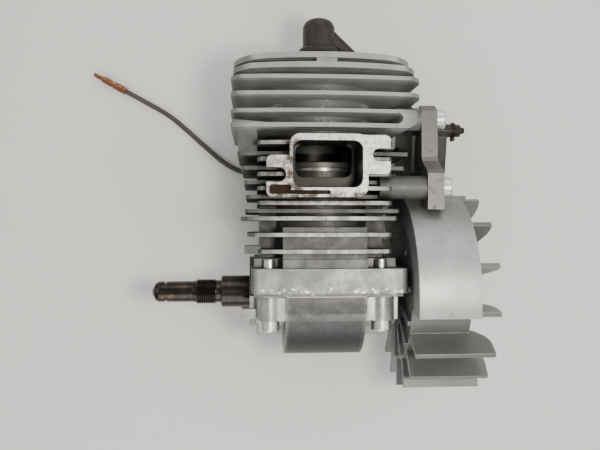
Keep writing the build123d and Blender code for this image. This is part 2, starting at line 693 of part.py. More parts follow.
def make_core():
    """The laminated U core, which leans back over the rim on two legs."""
    lean = radians(CORE_LEAN)
    top = (86.0, 18.5)  # where the yoke's and the front leg's outer edges would meet
    along = (-sin(lean), -cos(lean))  # the yoke's direction in Y and Z
    down = (-cos(lean), sin(lean))  # the far leg's direction
    shoulder = (top[0] + 6 * along[0], top[1] + 6 * along[1])
    far = (top[0] + 61 * along[0], top[1] + 61 * along[1])
    far_end = (far[0] + 50 * down[0], far[1] + 50 * down[1])
    inner_far = (far_end[0] - 11.5 * along[0], far_end[1] - 11.5 * along[1])
    inner_top = (inner_far[0] - 37 * down[0], inner_far[1] - 37 * down[1])
    outline = [(38.4, 32.0), (54.2, 32.0), (56.2, 29.6), (58.6, 24.4), (60.6, 21.6), (62.6, 20.5)]
    outline += [(83.4, 20.5), (86.6, 15.8), shoulder, far, far_end, inner_far, inner_top]
    outline += [(62.5, 9.5), (52.0, 20.5), (30.0, 20.5), (38.4, 24.0)]
    shape = layer_x(make_face(Polyline(*outline, close=True)), *CORE_X)
    shape -= rod_x(WHEEL_R + AIR_GAP, 30, 80)
    for _, y, z in POSTS:
        shape -= rod_x(2.7, 40, 60, y, z)
    return shape


def make_coil():
    """The potted coil round the yoke, with the tower that takes the high-tension lead."""
    body = Pos(69.2, -12.0) * Rot(0, 0, CORE_LEAN) * RectangleRounded(23, 40, 3.5)
    shape = layer_x(body, *COIL_X)
    tower = [(52.0, 75.0, -14.6), LEAD_ROUTE[-1]]
    direction = Vector(*tower[1]) - Vector(*tower[0])
    base = Plane(origin=tower[0], z_dir=direction)
    shape += extrude(base * Circle(4.4), amount=direction.length)
    shape += rod_x(3.3, 58, 66.4, *TERMINAL.values())
    exit_boss = Plane(origin=WIRE_ROUTE[0], z_dir=(-0.75, 0, -0.66))
    shape += extrude(exit_boss * Circle(2.4), amount=-4)
    return shape - make_core()


def make_coil_terminal():
    """The coil's earth stud with its tab and nut."""
    y, z = TERMINAL.values()
    tab = block(66.4, 67.6, y - 5.2, y, z - 2.2, z + 2.2) + rod_x(4.0, 66.4, 67.6, y, z)
    nut = layer_x(Pos(y, z) * RegularPolygon(3.1, 6), 68.2, 70.6)
    return tab + nut + rod_x(1.5, 67.0, 72.6, y, z) + rod_x(2.4, 67.6, 68.2, y, z)


def make_ignition_screws():
    screws = []
    for _, y, z in POSTS:
        length = CORE_X[1] - CORE_X[0] + 11
        screw = Rot(0, -90, 0) * cap_screw(length, 4.7, 4.3)
        screws.append(Pos(CORE_X[1], y, z) * screw)
    return screws


# ---------------------------------------------------------------- spark plug and boot


def make_plug_shell():
    outline = [(PLUG_THREAD_R, DECK_Y - 7.9), (PLUG_THREAD_R, PLUG_SEAT_Y), (9.0, PLUG_SEAT_Y)]
    outline += [(9.0, 107.0), (8.0, 107.4), (8.0, 112.4), (5.1, 112.4), (5.1, 106.0)]
    outline += [(3.6, 104.0), (3.6, DECK_Y - 7.9)]
    shape = turned_y(outline)
    hexagon = layer_y(RegularPolygon(10.9, 6), 107.2, 111.0) - rod_y(6, 100, 120)
    strap = block(-1.2, 1.2, 94.6, 95.6, -0.6, 6.4) + block(-1.2, 1.2, 94.6, 96.3, 5.2, 6.4)
    return shape + hexagon + strap


def make_plug_insulator():
    outline = [(1.3, 96.8), (2.6, 96.8), (3.6, 104.0), (5.1, 106.0), (5.1, 113.0), (4.6, 114.0)]
    outline += [(4.6, 122.4), (1.3, 122.4)]
    return turned_y(outline)


def make_plug_electrode():
    outline = [(0, 96.1), (1.3, 96.1), (1.3, 122.4), (TERMINAL_R, 122.4), (TERMINAL_R, 124.0)]
    outline += [(2.5, 124.7), (2.5, 125.7), (TERMINAL_R, 126.4), (TERMINAL_R, 127.4)]
    outline += [(2.2, 128.2), (0, 128.2)]
    return turned_y(outline)


def make_plug_washer():
    return rod_y(9.0, DECK_Y, PLUG_SEAT_Y) - rod_y(PLUG_THREAD_R, 100, 110)


def boot_sleeve(shrink=0.0):
    """The sleeve on the boot's side, which tapers towards the lead."""
    start, end = Vector(3.0, 122.4, 0.2), Vector(*LEAD_ROUTE[0])
    direction = end - start
    base = Plane(origin=start, z_dir=direction)
    tip = Plane(origin=end, z_dir=direction)
    return loft([base * Circle(4.6 - shrink), tip * Circle(3.4 - shrink)])


def make_boot():
    """The rubber boot: a domed tube with a rolled lip below and a sleeve at its side."""
    dome = rod_y(BOOT_R, 112.6, BOOT_TOP_Y)
    dome = fillet(dome.edges().group_by(Axis.Y)[-1], 5.0)
    lip = turned_y([(0, 112.6), (8.6, 112.6), (9.5, 113.4), (9.5, 115.2), (8.6, 116.0), (0, 116.0)])
    shape = dome + lip + boot_sleeve()
    return shape - rod_y(5.1, 110, 122.4) - rod_y(4.3, 122.4, 128.6)


def make_boot_clip():
    ring = rod_y(4.2, 122.6, 127.2) - rod_y(3.3, 120, 130)
    return ring - block(-0.8, 0.8, 120, 130, -6, 0)


def make_wire_pin():
    """The crimped pin on the free end of the kill wire."""
    start = Vector(*WIRE_ROUTE[-1])
    direction = start - Vector(*WIRE_ROUTE[-2])
    flat = Vector(direction.X, direction.Y, 0).normalized()
    seam = Plane(origin=start, z_dir=flat)
    shape = extrude(seam * Circle(CRIMP_R), amount=6.6)
    shape += extrude(seam.offset(6.6) * Circle(1.35), amount=1.6)
    shape += extrude(seam.offset(8.2) * Circle(1.75), amount=5.2)
    return shape + extrude(seam.offset(13.4) * Circle(1.1), amount=5.2)


# ---------------------------------------------------------------- assembly


def make_cords():
    for name, route, radius in (
        ("kill_wire", WIRE_ROUTE, WIRE_R),
        ("ignition_lead", LEAD_ROUTE, LEAD_R),
    ):
        tube, length, radii = rounded_tube(route, radius)
        parts[name] = tube
        ratio = tube.volume / (pi * radius**2 * length)
        print(name, "length", round(length, 1), "volume over section times length", round(ratio, 4))
        print(name, "arc radii", [round(value, 1) for value in radii])


def make_parts():
    parts["cylinder"], parts["crankcase_upper_half"] = make_casting_pieces()
    parts["crankcase_cap"] = make_cap()
    parts["crankcase_gasket"] = make_gasket()
    parts["crankcase_screws"] = make_case_screws()
    parts["main_bearing_outer_races"] = make_outer_races()
    parts["main_bearing_inner_races"] = make_inner_races()
    parts["main_bearing_balls"] = make_balls()
    parts["oil_seals"] = make_seals()
    parts["crank_half_clutch_side"] = make_clutch_half()
    parts["crank_half_flywheel_side"] = make_flywheel_half()
    parts["crank_pin"] = rod_x(PIN_R, -5.4, 5.4, -THROW)
    parts["big_end_bearing"] = needle_cage(7.0, PIN_R, 4.9, -THROW)
    parts["small_end_bearing"] = needle_cage(6.5, PIN_R, 4.9, WRIST_Y)
    parts["connecting_rod"] = make_rod()
    parts["wrist_pin"] = ring_x(PIN_R, 2.8, -15.5, 15.5, WRIST_Y)
    parts["wrist_pin_clips"] = make_circlips()
    parts["piston"] = make_piston()
    parts["piston_ring"] = make_piston_ring()
    parts["flywheel"] = make_flywheel()
    parts["flywheel_magnet"] = make_magnet()
    parts["flywheel_pole_shoes"] = make_pole_shoes()
    parts["flywheel_key"] = key_shape()
    parts["flywheel_washer"] = ring_x(9.6, NUT_THREAD_R, TAPER_X[1], 57.6)
    parts["flywheel_nut"] = make_nut() - rod_x(NUT_THREAD_R, 50, 70)
    for name, angle in PAWL_ANGLES.items():
        parts[name] = make_pawl(angle)
    parts["pawl_screws"] = [pawl_screw(angle) for angle in PAWL_ANGLES.values()]
    parts["pawl_springs"] = [pawl_spring(angle) for angle in PAWL_ANGLES.values()]
    parts["ignition_core"] = make_core()
    parts["ignition_coil"] = make_coil()
    parts["ignition_coil_terminal"] = make_coil_terminal()
    parts["ignition_screws"] = make_ignition_screws()
    parts["spark_plug_shell"] = make_plug_shell()
    parts["spark_plug_insulator"] = make_plug_insulator()
    parts["spark_plug_electrode"] = make_plug_electrode()
    parts["spark_plug_washer"] = make_plug_washer()
    parts["plug_boot"] = make_boot()
    parts["plug_boot_clip"] = make_boot_clip()
    parts["kill_wire_pin"] = make_wire_pin()
    make_cords()


def write_parts():
    os.makedirs("parts", exist_ok=True)
    for name, shape in parts.items():
        solids = shape if isinstance(shape, list) else [shape]
        moved = [Pos(*(-ORIGIN)) * solid for piece in solids for solid in piece.solids()]
        export_step(Compound(children=moved), f"parts/{name}.step")
    print("origin at", [round(value, 4) for value in ORIGIN])


make_parts()
write_parts()
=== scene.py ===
import bpy
import json
from math import radians
from mathutils import Matrix, Vector


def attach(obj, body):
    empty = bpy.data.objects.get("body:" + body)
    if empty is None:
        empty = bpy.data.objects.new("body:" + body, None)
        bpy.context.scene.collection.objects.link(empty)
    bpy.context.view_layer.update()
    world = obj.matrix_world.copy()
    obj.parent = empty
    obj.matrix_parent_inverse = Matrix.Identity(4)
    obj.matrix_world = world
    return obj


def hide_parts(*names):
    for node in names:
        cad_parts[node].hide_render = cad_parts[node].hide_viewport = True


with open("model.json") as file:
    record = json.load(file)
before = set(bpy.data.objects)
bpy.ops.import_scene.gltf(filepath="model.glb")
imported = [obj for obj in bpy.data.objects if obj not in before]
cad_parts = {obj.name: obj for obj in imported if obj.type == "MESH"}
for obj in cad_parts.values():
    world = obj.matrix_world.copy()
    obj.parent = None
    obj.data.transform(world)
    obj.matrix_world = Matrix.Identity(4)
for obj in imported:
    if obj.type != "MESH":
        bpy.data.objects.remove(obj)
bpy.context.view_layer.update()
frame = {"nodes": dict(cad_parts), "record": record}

# Small two-stroke powerhead. Places are given in millimetres about the crankshaft, as in the
# design: +X to the flywheel, +Y up the cylinder, +Z out of the exhaust port.
MM = 0.001
JOINTS = {joint["name"]: joint for joint in frame["record"]["behaviour"]["joints"]}
CRANK = Vector(JOINTS["crank_spin"]["pos_m"])

# Places on the castings
HEAD_Y = (71, 73.5)  # over this the barrel's finish turns into the head's
HEAD_WALL_Z = (28, 32)
HEAD_SIDES_X = (-36, 36)
SEAM_X = (-3.5, 5.5)
LOWER_FINS_Y = (17.5, 73.0)
LOWER_FINS_BACK_Z = -44
FIN_FRONT_Z = 34.0
EXHAUST_Z = 39.5
PORT_ROOM = ((-14.9, 15.5), (47.1, 67.7), (-30, 39.0))  # just past the exhaust port's walls
STAINED_CORNER = ((-27, -11), (41, 60), (30, 41))
STAINED_FOOT = ((-24, 17), (41, 45.6), (28, 41))
STAINED_RIM = ((-18, -10), (44, 68), (30, 41))
FLANGE_RECESS = ((-25.6, 3), (44, 49), (34, 41))
PLATE_FRONT_Z = 35.0
PLATE_HIDDEN_Z = (29, 31)
BELLY_X = (-17.0, 18.6)
BELLY_UNDER_Y = (-22, -2)
WHEEL_INBOARD_X = (38.3, 38.8)
DRUM_X = (37.0, 64.7)
DRUM_Y = (-9.0, 60.0)
DRUM_RADIUS = (34, 36)
# Painted shade: the drum is darker towards +Y between these two places
DRUM_SHADE_Y = (12, 44)
PILOT_X = (-75.5, -59.8)
CROWN_Y = (58.0, 61.5)

# Colours of stains, soot, oil and rust, and of painted shade
# The next five colours are painted shade, laid in corners and hollows, and on the plate behind its front
CORNER_SHADE = (0.020, 0.018, 0.016)
PLATE_SHADE = (0.022, 0.019, 0.016)
CAP_CORNER_SHADE = (0.020, 0.018, 0.015)
WHEEL_CORNER_SHADE = (0.025, 0.023, 0.020)
STEEL_CORNER_SHADE = (0.05, 0.045, 0.04)
# Oil, with painted shade deep between the lower fins
DEEP_OIL_AND_SHADE = (0.026, 0.025, 0.022)
RECESS_OIL = (0.022, 0.014, 0.009)
# Oil, with painted shade, on the port's outward-facing ledges
LEDGE_OIL_AND_SHADE = (0.017, 0.016, 0.015)
BROWN_STAIN = (0.050, 0.030, 0.014)
SOOT = (0.13, 0.132, 0.132)
SOOT_STREAK = (0.24, 0.205, 0.150)
PLATE_SPECK = (0.030, 0.022, 0.014)
CAP_STAIN = (0.062, 0.057, 0.049)
BELLY_SHADE = (0.026, 0.027, 0.027)
WHEEL_INBOARD_OIL = (0.040, 0.038, 0.036)
SHAFT_RUST = (0.11, 0.072, 0.044)
CORE_LINE = (0.09, 0.08, 0.07)
CORE_RUST = (0.085, 0.066, 0.048)
VARNISH = (0.012, 0.009, 0.006)
CARBON = (0.110, 0.105, 0.095)
WIRE_COLOR = (0.050, 0.045, 0.038)

LAMINATION = 1.2  # from one drawn line on the core to the next
WAVES_PER_UNIT = 20 / 6.2832  # how often the wave texture repeats at scale 1

TABLE_Z = -CRANK.z / MM
WIRE_R = 1.3
WIRE_Z = TABLE_Z + WIRE_R + 0.1
CRIMP_Z = TABLE_Z + 2.0
WIRE_ROUTE = [
    (43.5, 70.0, -27.4),
    (37.5, 70.1, -33.2),
    (28.5, 69.5, -39.6),
    (18.0, 68.2, -43.2),
    (6.5, 66.2, WIRE_Z),
    (-6.0, 63.2, WIRE_Z),
    (-17.5, 60.5, WIRE_Z),
    (-28.0, 59.1, WIRE_Z),
    (-38.2, 60.0, WIRE_Z),
    (-47.2, 64.8, WIRE_Z),
    (-56.3, 72.8, WIRE_Z),
    (-65.9, 81.5, WIRE_Z),
    (-75.6, 89.9, WIRE_Z),
    (-86.3, 96.0, WIRE_Z),
    (-99.4, 103.0, CRIMP_Z),
]

WHITE = (1.0, 1.0, 1.0)
LIGHTS = (  # name, place, size in metres, power in watts, colour
    ("key", (60, 22, 345), 0.07, 0.92, (1.0, 0.97, 0.87)),
    ("left_fill", (-450, 200, 380), 0.5, 0.9, WHITE),
    ("right_fill", (480, 120, 380), 0.5, 1.3, WHITE),
    ("back_fill", (60, 560, 300), 0.5, 1.4, WHITE),
    ("front_fill", (-40, -420, 300), 0.5, 2.0, WHITE),
)
LIGHT_TARGET = (0, 40, 0)
WORLD_COLOR = (1.0, 0.975, 0.90, 1.0)
WORLD_STRENGTH = 0.34
FLOOR_HALF = 3.0  # metres

CAMERA_AT = (-30.5, 31.5, 323.7)
CAMERA_YAW = 3.8
CAMERA_LENS = 40.6


def at(x, y, z):
    """A place given in millimetres about the crankshaft, in the row frame in metres."""
    return CRANK + Vector((x, y, z)) * MM


# ---------------------------------------------------------------- material nodes


class Finish:
    """A node material under construction, with short calls for the nodes it uses."""

    def __init__(self, name, metallic=0.0, roughness=0.5, specular=0.5):
        self.material = bpy.data.materials.new(name)
        self.material.use_nodes = True
        self.tree = self.material.node_tree
        self.tree.nodes.clear()
        self.shader = self.tree.nodes.new("ShaderNodeBsdfPrincipled")
        output = self.tree.nodes.new("ShaderNodeOutputMaterial")
        self.tree.links.new(self.shader.outputs["BSDF"], output.inputs["Surface"])
        self.shader.inputs["Metallic"].default_value = metallic
        self.shader.inputs["Roughness"].default_value = roughness
        self.shader.inputs["Specular IOR Level"].default_value = specular
        self.place = self.add("ShaderNodeTexCoord").outputs["Object"]
        self.height = None

    def add(self, kind, **settings):
        node = self.tree.nodes.new(kind)
        for name, value in settings.items():
            setattr(node, name, value)
        return node

    def put(self, socket, value):
        """Links an output to a socket, or sets the socket to a plain value."""
        if isinstance(value, bpy.types.NodeSocket):
            self.tree.links.new(value, socket)
        elif isinstance(value, (tuple, list)) and len(value) == 3 and socket.type == "RGBA":
            socket.default_value = (*value, 1.0)
        else:
            socket.default_value = value

    def math(self, kind, first, second=0.0):
        node = self.add("ShaderNodeMath", operation=kind)
        self.put(node.inputs[0], first)
        self.put(node.inputs[1], second)
        return node.outputs[0]

    def ramp(self, value, low, high, start=0.0, end=1.0):
        """Maps low..high smoothly to start..end, and stays level outside."""
        node = self.add("ShaderNodeMapRange", interpolation_type="SMOOTHSTEP")
        self.put(node.inputs["Value"], value)
        for name, number in zip(("From Min", "From Max", "To Min", "To Max"), (low, high, start, end)):
            node.inputs[name].default_value = number
        return node.outputs["Result"]

    def mix(self, factor, first, second):
        """Blends two colours."""
        node = self.add("ShaderNodeMix", data_type="RGBA")
        for index, value in ((0, factor), (6, first), (7, second)):  # the colour sockets
            self.put(node.inputs[index], value)
        return node.outputs[2]

    def blend(self, factor, first, second):
        """Blends two numbers."""
        node = self.add("ShaderNodeMix", data_type="FLOAT")
        self.put(node.inputs[0], factor)
        self.put(node.inputs[2], first)
        self.put(node.inputs[3], second)
        return node.outputs[0]

    def stretched(self, x=1.0, y=1.0, z=1.0):
        """The surface's place, scaled along each axis."""
        node = self.add("ShaderNodeMapping")
        self.put(node.inputs["Vector"], self.place)
        node.inputs["Scale"].default_value = (x, y, z)
        return node.outputs["Vector"]

    def noise(self, size, detail=4.0, rough=0.55, where=None, shift=0.0):
        """Noise with blobs of about that size in millimetres."""
        node = self.add("ShaderNodeTexNoise", noise_dimensions="4D")
        self.put(node.inputs["Vector"], where or self.place)
        node.inputs["W"].default_value = shift
        node.inputs["Scale"].default_value = 1 / (size * MM)
        node.inputs["Detail"].default_value = detail
        node.inputs["Roughness"].default_value = rough
        return node.outputs["Fac"]

    def axis(self, name):
        """One coordinate of the surface's place, in metres in the row frame."""
        node = self.add("ShaderNodeSeparateXYZ")
        self.put(node.inputs[0], self.place)
        return node.outputs[name]

    def reach(self):
        """The surface's distance from the crankshaft's axis, in metres."""
        node = self.add("ShaderNodeVectorMath", operation="SUBTRACT")
        self.put(node.inputs[0], self.place)
        node.inputs[1].default_value = CRANK
        across = self.add("ShaderNodeVectorMath", operation="MULTIPLY")
        self.put(across.inputs[0], node.outputs["Vector"])
        across.inputs[1].default_value = (0.0, 1.0, 1.0)
        length = self.add("ShaderNodeVectorMath", operation="LENGTH")
        self.put(length.inputs[0], across.outputs["Vector"])
        return length.outputs["Value"]

    def times(self, first, *others):
        """The product of several masks or numbers."""
        for other in others:
            first = self.math("MULTIPLY", first, other)
        return first

    def flip(self, mask):
        """1 where the mask is 0, and 0 where it is 1."""
        return self.math("SUBTRACT", 1.0, mask)

    def slope(self, name, low, high, start=0.0, end=1.0):
        """Turns from start to end between two places along an axis, in millimetres."""
        middle = CRANK["XYZ".index(name)]
        return self.ramp(self.axis(name), middle + low * MM, middle + high * MM, start, end)

    def band(self, name, low, high, soft):
        """1 between two places along an axis and 0 outside, in millimetres."""
        rise = self.slope(name, low - soft, low + soft)
        fall = self.slope(name, high - soft, high + soft, 1.0, 0.0)
        return self.times(rise, fall)

    def room(self, x, y, z, soft):
        """1 inside a box given as three ranges in millimetres about the crankshaft."""
        return self.times(self.band("X", *x, soft), self.band("Y", *y, soft), self.band("Z", *z, soft))

    def facing(self, name, low, high):
        """Rises from 0 to 1 as the shape's own normal turns to that axis."""
        node = self.add("ShaderNodeSeparateXYZ")
        self.put(node.inputs[0], self.add("ShaderNodeNewGeometry").outputs["True Normal"])
        return self.ramp(node.outputs[name], low, high)

    def edges(self, radius):
        """1 near the shape's edges, and 0 on its faces."""
        bevel = self.add("ShaderNodeBevel", samples=4)
        bevel.inputs["Radius"].default_value = radius * MM
        flat = self.add("ShaderNodeNewGeometry").outputs["Normal"]
        dot = self.add("ShaderNodeVectorMath", operation="DOT_PRODUCT")
        self.put(dot.inputs[0], bevel.outputs["Normal"])
        self.put(dot.inputs[1], flat)
        return self.ramp(dot.outputs["Value"], 0.80, 0.99, 1.0, 0.0)

    def crevice(self, distance):
        """1 where other surfaces stand close by, and 0 in the open."""
        node = self.add("ShaderNodeAmbientOcclusion", samples=6)
        node.inputs["Distance"].default_value = distance * MM
        return self.flip(node.outputs["AO"])

    def corner_shade(self, distance, most, low=0.4, high=0.95):
        """A mask of painted shade in corners, where other surfaces stand close by."""
        return self.ramp(self.crevice(distance), low, high, 0.0, most)

    def bright_edges(self, base, radius, amount, color):
        """The base colour, with the shape's edges rubbed to another."""
        return self.mix(self.times(self.edges(radius), amount), base, color)

    def relief(self, height, depth, strength=1.0):
        """Adds a bump of that depth in millimetres to the surface."""
        node = self.add("ShaderNodeBump")
        self.put(node.inputs["Height"], height)
        node.inputs["Distance"].default_value = depth * MM
        node.inputs["Strength"].default_value = strength
        if self.height is not None:
            self.put(node.inputs["Normal"], self.height)
        self.height = node.outputs["Normal"]

    def rounded(self, radius):
        """Softens the shape's edges in the shading."""
        node = self.add("ShaderNodeBevel", samples=4)
        node.inputs["Radius"].default_value = radius * MM
        self.height = node.outputs["Normal"]

    def finish(self, color, roughness=None, metallic=None):
        self.put(self.shader.inputs["Base Color"], color)
        if roughness is not None:
            self.put(self.shader.inputs["Roughness"], roughness)
        if metallic is not None:
            self.put(self.shader.inputs["Metallic"], metallic)
        if self.height is not None:
            self.put(self.shader.inputs["Normal"], self.height)
        return self.material


def grey(value, warm=0.0):
    """A grey of that brightness, a little warmer or cooler."""
    return (value * (1 + warm), value, value * (1 - warm))


# ---------------------------------------------------------------- finishes


def cast_surface(look, dark, light, size=9.0):
    """The mottled grey of an aged die casting, with fine specks."""
    patches = look.noise(size, 5.0, 0.6)
    base = look.mix(look.ramp(patches, 0.32, 0.68), dark, light)
    speckle = look.ramp(look.noise(0.7, 3.0, 0.7, shift=3.0), 0.55, 0.8, 0.0, 0.35)
    return look.mix(speckle, base, tuple(0.5 * value for value in dark))


def grained(look, fine, coarse):
    """The sand-like skin and slow waves of a casting, by their depth in millimetres."""
    look.relief(look.noise(0.45, 3.0, 0.7, shift=4.0), fine, 0.6)
    look.relief(look.noise(4.0, 3.0, 0.6, shift=6.0), coarse, 0.25)


def head_surface(look, base, head):
    """The head's fins are clean, with matt broad faces painted lighter than their fronts as painted light,
    and the wall behind them is painted darker as painted shade.
    """
    # Partly painted light: the clean head is lighter than its fin fronts, standing in for light the fins'
    # broad faces hardly get
    base = look.mix(head, base, cast_surface(look, grey(0.34), grey(0.46), 7.0))
    # Painted shade: the wall behind the head's fins is darkened
    wall = look.times(look.facing("Z", 0.35, 0.8), head, look.slope("Z", *HEAD_WALL_Z, 1.0, 0.0))
    base = look.mix(look.times(wall, 0.85), base, grey(0.085))
    specks = look.ramp(look.noise(0.9, 3.0, 0.7, shift=15.0), 0.57, 0.64, 0.0, 0.8)
    specks = look.times(specks, head, look.band("X", *SEAM_X, 2.5))
    return look.mix(specks, base, grey(0.72))


def oiled_and_shaded_barrel(look, base):
    """Oil and painted shade darken the barrel between the lower fins, most of all deep down, where the
    painted shade is heaviest.
    """
    # Painted shade: the barrel is darker the deeper it lies behind the fins' fronts
    depth = look.slope("Z", 4, 27, 1.0, 0.45)
    low = look.band("Y", *LOWER_FINS_Y, 0.6)
    low = look.times(low, look.band("Z", LOWER_FINS_BACK_Z, FIN_FRONT_Z, 0.4))
    film = look.blend(look.noise(9.0, 5.0, 0.6, shift=12.0), 0.7, 1.0)
    return look.mix(look.times(low, depth, film), base, DEEP_OIL_AND_SHADE)


def rubbed_fins(look, base, head, worn):
    """The fins' front edges are rubbed bright, and the head's ends are darker."""
    front = look.slope("Z", FIN_FRONT_Z - 1.5, FIN_FRONT_Z + 0.5)
    rubbed = look.blend(head, look.blend(worn, 0.30, 0.85), look.blend(worn, 0.82, 1.0))
    base = look.mix(look.times(front, rubbed), base, look.mix(head, grey(0.40), grey(0.25)))
    sides = look.times(head, look.flip(look.band("X", *HEAD_SIDES_X, 4.0)), 0.75)
    return look.mix(sides, base, grey(0.10))


def flange_surface(look, base):
    """The exhaust flange: a machined face, brown at its lower left, and a port dark with oil, with painted
    shade on the port's outward-facing ledges.
    """
    face = look.slope("Z", EXHAUST_Z - 0.5, EXHAUST_Z - 0.1)
    patches = look.ramp(look.noise(2.5, 6.0, 0.75), 0.36, 0.60)
    base = look.mix(face, base, look.mix(patches, grey(0.28, 0.02), grey(0.66, 0.02)))
    corner = look.times(look.room(*STAINED_CORNER, 3.0), 0.85)
    edges = look.math("MAXIMUM", look.room(*STAINED_FOOT, 1.0), look.room(*STAINED_RIM, 1.5))
    stain = look.ramp(look.noise(4.0, 6.0, 0.75, shift=2.0), 0.38, 0.56)
    stain = look.times(look.math("MAXIMUM", corner, edges), stain)
    base = look.mix(stain, base, BROWN_STAIN)
    recess = look.math("SUBTRACT", look.room(*FLANGE_RECESS, 0.4), face)
    base = look.mix(recess, base, RECESS_OIL)
    soot = look.room(*PORT_ROOM, 0.25)
    streaks = look.ramp(look.noise(2.2, 5.0, 0.75, shift=11.0), 0.52, 0.74)
    base = look.mix(soot, base, look.mix(streaks, SOOT, SOOT_STREAK))
    # Painted shade: the port's surfaces that face out are darkened further
    ledge = look.times(soot, look.facing("Z", 0.5, 0.9))
    return look.mix(ledge, base, LEDGE_OIL_AND_SHADE), face, stain, recess, soot


def cylinder_finish():
    look = Finish("cylinder_casting", metallic=0.6, roughness=0.55)
    look.rounded(0.35)
    base = cast_surface(look, grey(0.105, 0.01), grey(0.17, 0.01))
    worn = look.ramp(look.noise(6.0, 4.0, 0.7, shift=8.0), 0.38, 0.62)
    head = look.slope("Y", *HEAD_Y)
    base = head_surface(look, base, head)
    base = oiled_and_shaded_barrel(look, base)
    base = rubbed_fins(look, base, head, worn)
    base, face, stain, recess, soot = flange_surface(look, base)
    # Painted shade in the corners, kept faint on the head
    corner_shade = look.times(look.corner_shade(4.0, 0.85, low=0.35), look.blend(head, 1.0, 0.12))
    base = look.mix(corner_shade, base, CORNER_SHADE)
    shine = look.times(look.blend(worn, 0.2, 0.75), look.blend(soot, 0.8, 0.2))
    base = look.bright_edges(base, 0.4, shine, grey(0.42))
    grained(look, 0.05, 0.3)
    rough = look.blend(face, look.blend(worn, 0.62, 0.50), 0.52)
    rough = look.blend(soot, rough, 0.33)
    wet = look.math("MAXIMUM", soot, recess)  # dark oil on metal: no pale sheen of its own
    metal = look.blend(head, look.blend(stain, 0.6, 0.2), 0.15)
    return look.finish(base, rough, look.blend(wet, metal, 1.0))


def plate_finish():
    """The base plate's front is scraped bright, with old gasket at its lower edge, and painted shade
    behind the front and in the corners.
    """
    look = Finish("plate_casting", metallic=0.6, roughness=0.5)
    look.rounded(0.5)
    base = cast_surface(look, grey(0.12, 0.01), grey(0.18, 0.01), 12.0)
    scraped = look.ramp(look.noise(11.0, 5.0, 0.6, shift=5.0), 0.36, 0.66)
    front = look.slope("Z", PLATE_FRONT_Z - 1, PLATE_FRONT_Z)
    base = look.mix(look.times(front, look.blend(scraped, 0.30, 0.95)), base, grey(0.25, 0.01))
    streaks = look.noise(1.2, 5.0, 0.7, where=look.stretched(0.25, 1.6, 1.0), shift=9.0)
    scratches = look.ramp(streaks, 0.58, 0.70, 0.0, 0.5)
    base = look.mix(look.times(front, scratches), base, grey(0.62))
    chips = look.ramp(look.noise(2.0, 4.0, 0.7), 0.55, 0.62)
    base = look.mix(look.times(look.band("Y", 1, 4.6, 1.0), chips), base, grey(0.80, 0.02))
    specks = look.ramp(look.noise(1.1, 3.0, 0.7, shift=7.0), 0.60, 0.66)
    base = look.mix(look.times(look.band("Y", 1, 5.5, 1.0), specks), base, PLATE_SPECK)
    # Painted shade: the plate is darker behind its front face
    hidden = look.slope("Z", *PLATE_HIDDEN_Z, 0.60, 0.0)
    base = look.mix(hidden, base, PLATE_SHADE)
    # Painted shade in the corners
    base = look.mix(look.corner_shade(3.0, 0.8), base, PLATE_SHADE)
    base = look.bright_edges(base, 0.5, 0.65, grey(0.60))
    grained(look, 0.05, 0.3)
    return look.finish(base, look.blend(scraped, 0.56, 0.42), look.blend(hidden, 0.6, 0.1))


def cap_finish():
    """The crankcase cap: clean bosses, a stained belly painted darker underneath as shade, and painted
    shade in its corners.
    """
    look = Finish("cap_casting", metallic=0.65, roughness=0.5)
    look.rounded(0.6)
    belly = look.band("X", *BELLY_X, 2.2)
    base = cast_surface(look, grey(0.105, 0.02), grey(0.17, 0.01), 4.0)
    base = look.mix(belly, cast_surface(look, grey(0.27, 0.01), grey(0.40), 4.0), base)
    stain = look.ramp(look.noise(3.5, 6.0, 0.75, shift=9.0), 0.42, 0.62, 0.0, 0.5)
    base = look.mix(look.times(stain, look.blend(belly, 0.25, 1.0)), base, CAP_STAIN)
    under = look.slope("Y", *BELLY_UNDER_Y, 0.90, 0.20)
    base = look.mix(look.times(under, belly), base, BELLY_SHADE)
    # Painted shade in the corners
    corner_shade = look.corner_shade(3.0, 0.85)
    base = look.mix(corner_shade, base, CAP_CORNER_SHADE)
    base = look.bright_edges(base, 0.5, 0.5, grey(0.48))
    grained(look, 0.05, 0.3)
    return look.finish(base, look.blend(belly, 0.34, 0.46), look.blend(corner_shade, 0.65, 0.2))


def flywheel_finish():
    """The flywheel: a drum painted darker towards +Y as painted shade, and darker blades, hub and inboard
    face.
    """
    look = Finish("flywheel_casting", metallic=0.7, roughness=0.45)
    look.rounded(0.3)
    base = cast_surface(look, grey(0.38), grey(0.47), 16.0)
    patch = look.ramp(look.noise(5.0, 6.0, 0.7, shift=5.0), 0.52, 0.68, 0.0, 0.35)
    base = look.mix(patch, base, grey(0.19, -0.03))
    base = look.mix(look.slope("X", *WHEEL_INBOARD_X, 0.15, 0.0), base, WHEEL_INBOARD_OIL)
    drum = look.times(look.band("X", *DRUM_X, 0.3), look.band("Y", *DRUM_Y, 1.0))
    inner, outer = DRUM_RADIUS
    drum = look.times(drum, look.ramp(look.reach(), inner * MM, outer * MM))
    base = look.mix(look.times(look.flip(drum), 0.76), base, grey(0.105, 0.01))
    # Painted shade: the drum is painted darker towards +Y
    dimmed = look.slope("Y", *DRUM_SHADE_Y, 0.0, 0.60)
    base = look.mix(look.times(dimmed, drum), base, grey(0.13, 0.01))
    # Painted shade in the corners
    corner_shade = look.corner_shade(5.0, 0.60, low=0.35)
    base = look.mix(corner_shade, base, WHEEL_CORNER_SHADE)
    base = look.bright_edges(base, 0.35, 0.65, grey(0.62))
    grained(look, 0.04, 0.2)
    rough = look.blend(look.noise(5.0, 4.0, 0.6, shift=7.0), 0.38, 0.52)
    return look.finish(base, rough, look.blend(corner_shade, 0.7, 0.2))


